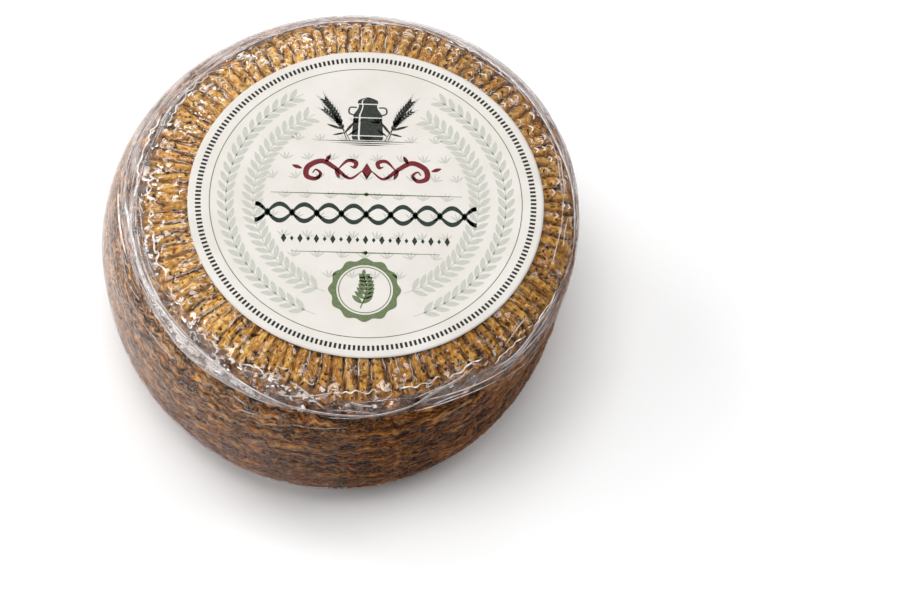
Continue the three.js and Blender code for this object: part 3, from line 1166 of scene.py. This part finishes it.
def rind_material():
    """The ribs' colour on the crown and the strands' on the side, with dark pits and specks."""
    nodes = Nodes("rind")
    relief = nodes.attribute("relief")
    straw = nodes.attribute("straw")
    crown = crown_colour(nodes, relief, straw)
    skin = nodes.mix(nodes.attribute("side"), crown, side_colour(nodes, relief, straw))
    skin = nodes.mix(nodes.attribute("pit"), skin, colour(44, 31, 18))
    skin = nodes.mix(nodes.specks(2.1, 0.30), skin, colour(40, 27, 18))
    return nodes.finish(nodes.surface(skin, 0.42, 0.08, Normal=nodes.bump(nodes.noise(0.8), 0.5, 0.3)))


def film_material():
    """Clear film: see-through, with small glints from its facets, whitish where it bridges a groove
    or is seen edge-on. On the side it clings and shines less; towards the left it carries a painted
    sheen and painted glint lines."""
    nodes = Nodes("film")
    facing = nodes.add("LayerWeight", {"Blend": 0.5})["Facing"]
    clear = nodes.shader("Transparent", Color=NEAR_WHITE)
    facets = nodes.facet_normal(FILM_FACET, FILM_TILT)
    gloss = nodes.shader("Glossy", Roughness=0.06, Normal=facets)
    haze_and_painted_light = nodes.shader("Diffuse", Color=colour(214, 204, 202))

    slack = nodes.attribute("slack")
    collar = nodes.attribute("collar")
    steep = nodes.times(nodes.math("POWER", facing, 4.0), slack)
    clinging = nodes.math("SUBTRACT", nodes.attribute("side"), collar, clamp=True)
    taut = nodes.times_plus(clinging, -0.96, 1.0)
    shine = nodes.times(nodes.span(nodes.noise(7.0, 2.0), 0.42, 0.62, 0.02, 0.27), taut)
    shine = nodes.times(shine, nodes.attribute("crinkle"))
    shine = nodes.times_plus(steep, 0.36, shine, clamp=True)

    milky_and_painted_light = nodes.times(steep, 0.28)
    wisps = nodes.span(nodes.noise(5.0, 4.0), 0.36, 0.64)
    groove_and_collar_haze = nodes.times(nodes.attribute("gap"), 0.04)
    groove_and_collar_haze = nodes.times_plus(collar, 0.20, groove_and_collar_haze)
    milky_and_painted_light = nodes.times_plus(groove_and_collar_haze, wisps, milky_and_painted_light)
    pleats = nodes.span(nodes.strands(16.0, 2.2), 0.36, 0.62, 0.06, 0.52)
    pleats = nodes.math("ADD", pleats, nodes.lines(nodes.strands(22.0, 2.6), 0.02, 0.4))
    milky_and_painted_light = nodes.times_plus(nodes.attribute("sleeve"), pleats, milky_and_painted_light)
    # Painted sheen: thin glint lines and whitish haze on the plaited side towards the left, standing in
    # for reflected light
    painted_glint_lines = nodes.lines(nodes.strands(5.0, 1.5, "swayed"), 0.04, 0.32)
    rim = nodes.times_plus(nodes.math("POWER", facing, 3.0), 0.16, painted_glint_lines)
    milky_and_painted_light = nodes.times_plus(nodes.attribute("painted_sheen"), rim, milky_and_painted_light)
    milky_and_painted_light = nodes.times_plus(slack, 0.02, milky_and_painted_light, clamp=True)
    return nodes.finish(nodes.layered(milky_and_painted_light, nodes.layered(shine, clear, gloss), haze_and_painted_light))


def fold_material():
    """Folded film: several layers together, whitish, with painted highlights brightest along the edges.
    """
    nodes = Nodes("film_folds")
    edge = nodes.attribute("edge")
    clear = nodes.shader("Transparent")
    gloss = nodes.shader("Glossy", Roughness=0.15, Normal=nodes.facet_normal(3.0, 0.4))
    tint = nodes.ramp(edge, (0.45, 212, 202, 200), (0.90, 255, 252, 250))
    haze_and_painted_light = nodes.shader("Diffuse", Color=tint)
    streaks = nodes.span(nodes.noise(4.0), 0.35, 0.65, 0.40, 1.0)
    milky_and_painted_light = nodes.times(edge, streaks, clamp=True)
    return nodes.finish(nodes.layered(milky_and_painted_light, nodes.layered(0.11, clear, gloss), haze_and_painted_light))


def paper_material():
    nodes = Nodes("label_paper")
    tone = nodes.ramp(nodes.noise(16.0, 4.0), (0.35, 210, 205, 198), (0.65, 217, 213, 207))
    return nodes.finish(nodes.surface(tone, 0.6, 0.2, Normal=nodes.bump(nodes.noise(9.0), 0.35, 0.8)))


def ink_material(name, dark, light):
    """Printed ink, a little uneven where it lies thin."""
    nodes = Nodes(name)
    tone = nodes.ramp(nodes.noise(1.2), (0.35, *dark), (0.75, *light))
    return nodes.finish(nodes.surface(tone, 0.55, 0.2))


def floor_material():
    nodes = Nodes("floor")
    return nodes.finish(nodes.shader("Diffuse", Color=NEAR_WHITE))


# ---- camera, light, floor

CAMERA_PLACE = Vector((-0.0250, -0.5262, 0.9626))
CAMERA_AIM = Vector((0.0458, -0.0242, 0.045))
CAMERA_ROLL = math.radians(6.4)
CAMERA_LENS = 100.0

# The studio: a sky brighter on the left and behind, soft keys, and lamps for the film's glints
SKY_BRIGHT_SIDE = (-0.4, 0.5, 0.7)
SKY_DARK = 0.15
SKY_LIGHT = 0.60
LAMP_AIM = (0.0, 0.0, 0.07)
# Each lamp: its place and its width and height in metres, and its radiance
LAMPS = {
    "front_key": ((-0.50, -1.35, 2.2), 2.0, 2.0, 0.45),
    "left_key": ((-2.0, -0.6, 1.25), 1.5, 1.2, 3.8),
    "right_fill": ((1.65, 0.45, 1.3), 1.4, 1.4, 3.1),
    "overhead": ((-0.25, 0.08, 2.6), 1.5, 1.5, 5.4),
    "left_back": ((-1.6, 1.25, 1.4), 0.95, 0.95, 6.0),
    "back_strip": ((-0.15, 2.1, 0.85), 2.0, 0.26, 7.5),
    "left_strip": ((-2.1, -0.05, 0.85), 1.5, 0.22, 7.5),
}


def build_camera():
    data = bpy.data.cameras.new("camera")
    data.lens = CAMERA_LENS
    data.sensor_width = 36.0
    camera = bpy.data.objects.new("camera", data)
    ahead = (CAMERA_AIM - CAMERA_PLACE).normalized()
    level = ahead.cross(Vector((0.0, 0.0, 1.0))).normalized()
    upright = level.cross(ahead)
    right = level * math.cos(CAMERA_ROLL) + upright * math.sin(CAMERA_ROLL)
    up = right.cross(ahead)
    turn = Matrix((right, up, -ahead)).transposed()
    camera.matrix_world = Matrix.Translation(CAMERA_PLACE) @ turn.to_4x4()
    bpy.context.scene.collection.objects.link(camera)
    bpy.context.scene.camera = camera


def area_light(name, place, aim, width, height, watts):
    data = bpy.data.lights.new(name, "AREA")
    data.shape = "RECTANGLE"
    data.size = width
    data.size_y = height
    data.energy = watts
    light = bpy.data.objects.new(name, data)
    light.location = place
    light.rotation_euler = (Vector(aim) - Vector(place)).to_track_quat("-Z", "Y").to_euler()
    bpy.context.scene.collection.objects.link(light)


def build_lights():
    world = bpy.data.worlds.new("studio")
    world.use_nodes = True
    tree = world.node_tree
    background = tree.nodes["Background"]
    direction = tree.nodes.new("ShaderNodeTexCoord")
    towards = tree.nodes.new("ShaderNodeVectorMath")
    towards.operation = "DOT_PRODUCT"
    towards.inputs[1].default_value = Vector(SKY_BRIGHT_SIDE).normalized()
    tree.links.new(direction.outputs["Generated"], towards.inputs[0])
    level = tree.nodes.new("ShaderNodeMapRange")
    level.inputs["From Min"].default_value = -0.5
    level.inputs["From Max"].default_value = 1.0
    level.inputs["To Min"].default_value = SKY_DARK
    level.inputs["To Max"].default_value = SKY_LIGHT
    tree.links.new(towards.outputs["Value"], level.inputs["Value"])
    tree.links.new(level.outputs["Result"], background.inputs["Strength"])
    bpy.context.scene.world = world
    for name, (place, width, height, radiance) in LAMPS.items():
        watts = radiance * width * height * math.pi
        area_light(name, place, LAMP_AIM, width, height, watts)


def build_floor():
    half = 4000.0
    corners = [(x * half, y * half, 0.0) for x, y in ((-1, -1), (1, -1), (1, 1), (-1, 1))]
    floor = new_object("floor", corners, [(0, 1, 2, 3)], {}, floor_material(), False)


def stand_for(piece, node):
    """The piece rides on the one body and replaces a node, which is hidden."""
    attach(piece, "root")
    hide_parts(node)


bpy.context.scene.view_settings.view_transform = "Standard"
build_camera()
build_lights()
build_floor()

rind = rind_material()
for band_name, band in RIND_BANDS.items():
    stand_for(build_rind_band(band_name, *band, rind), "wheel")
stand_for(build_film(film_material()), "wheel")
stand_for(build_folds(fold_material()), "wheel")

stand_for(build_label_paper(paper_material()), "label")
for ink, ink_name, dark, light in (
    (print_dashes(), "print_dashes", (34, 36, 34), (48, 50, 47)),
    (print_motif(), "print_motif", (38, 42, 39), (62, 66, 62)),
    (print_bands(), "print_bands", (32, 45, 39), (48, 62, 54)),
    (print_scrolls(), "print_scrolls", (98, 28, 36), (120, 42, 50)),
    (print_olive(), "print_olive", (92, 106, 72), (112, 126, 92)),
    (print_pale(), "print_pale", (182, 183, 173), (192, 193, 185)),
):
    stand_for(ink.build(ink_name, ink_material(ink_name, dark, light), False), "label")
